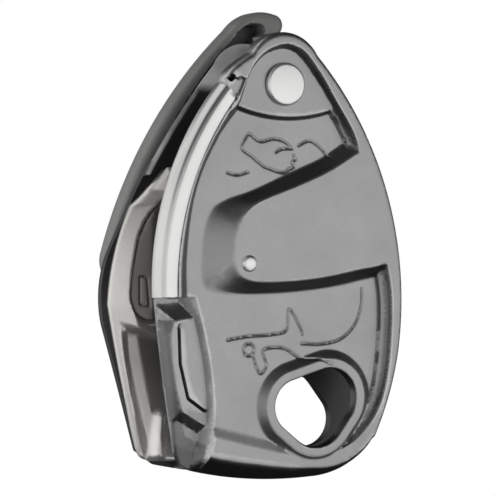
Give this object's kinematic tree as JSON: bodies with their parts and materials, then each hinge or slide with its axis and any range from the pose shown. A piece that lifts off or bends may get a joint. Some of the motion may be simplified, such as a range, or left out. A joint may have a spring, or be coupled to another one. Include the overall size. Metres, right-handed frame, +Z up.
{
  "type": "belay device",
  "caption": "Assisted-braking belay device: a swinging side plate, a sprung rope cam between the plates and a folding release handle.",
  "frame": {"origin": "centre of the carabiner eye, midway between the two side plates", "axes": "+X towards the long closed edge, +Y from the moving plate to the handle, +Z up along the device towards the main rivet"},
  "size_m": [0.0736, 0.033, 0.1179],
  "materials": {
    "plate_satin": "satin anodised, fine grain",
    "plate_dark": "dark satin anodised",
    "stainless_satin": "satin stainless",
    "stainless_bright": "bright brushed stainless",
    "rivet_steel": "fine satin",
    "cam_steel": "satin cast stainless",
    "axle_steel": "ground steel",
    "spring_steel": "drawn wire",
    "handle_nylon": "dark moulded nylon, fine texture",
    "knob_nylon": "moulded nylon",
    "natural_nylon": "natural nylon",
    "bronze": "sintered bronze"
  },
  "bodies": {
    "fixed_frame": {"fixed_side_plate": "plate_dark", "friction_plate": "stainless_satin", "friction_plate_rivets": "axle_steel", "main_rivet": "rivet_steel", "spacer_sleeve": "axle_steel", "pivot_washer": "natural_nylon", "cam_axle": "axle_steel", "axle_retaining_ring": "spring_steel", "hub_washer": "natural_nylon", "cam_stop_pin": "axle_steel", "cam_spacer": "natural_nylon", "handle_return_spring": "spring_steel", "cam_return_spring": "spring_steel"},
    "side_plate": {"moving_side_plate": "plate_satin", "wear_strip": "stainless_bright", "tongue_rivet": "rivet_steel", "guide_pad": "natural_nylon"},
    "cam_group": {"cam": "cam_steel", "cam_bush": "bronze", "cam_release_pin": "axle_steel"},
    "handle": {"handle_lever": "handle_nylon", "hub_bush": "bronze", "handle_drive_pin": "axle_steel", "selector_spring_washer": "spring_steel"},
    "selector": {"selector_knob": "knob_nylon"}
  },
  "joints": [
    {"name": "side_plate_swing", "type": "hinge", "parent": "fixed_frame", "child": "side_plate", "pos_m": [-0.0093, 0, 0.0803], "axis": [0, -1, 0], "range_deg": [0, 110]},
    {"name": "cam_turn", "type": "hinge", "parent": "fixed_frame", "child": "cam_group", "pos_m": [-0.012, 0, 0.044], "axis": [0, 1, 0], "range_deg": [0, 22], "stiffness_Nm_per_rad": 0.05, "springref_deg": -34.38},
    {"name": "handle_turn", "type": "hinge", "parent": "fixed_frame", "child": "handle", "pos_m": [-0.012, 0, 0.044], "axis": [0, -1, 0], "range_deg": [0, 100], "stiffness_Nm_per_rad": 0.01, "springref_deg": -45.84},
    {"name": "selector_turn", "type": "hinge", "parent": "handle", "child": "selector", "pos_m": [-0.012, 0, 0.044], "axis": [0, -1, 0], "range_deg": [0, 90]}
  ]
}
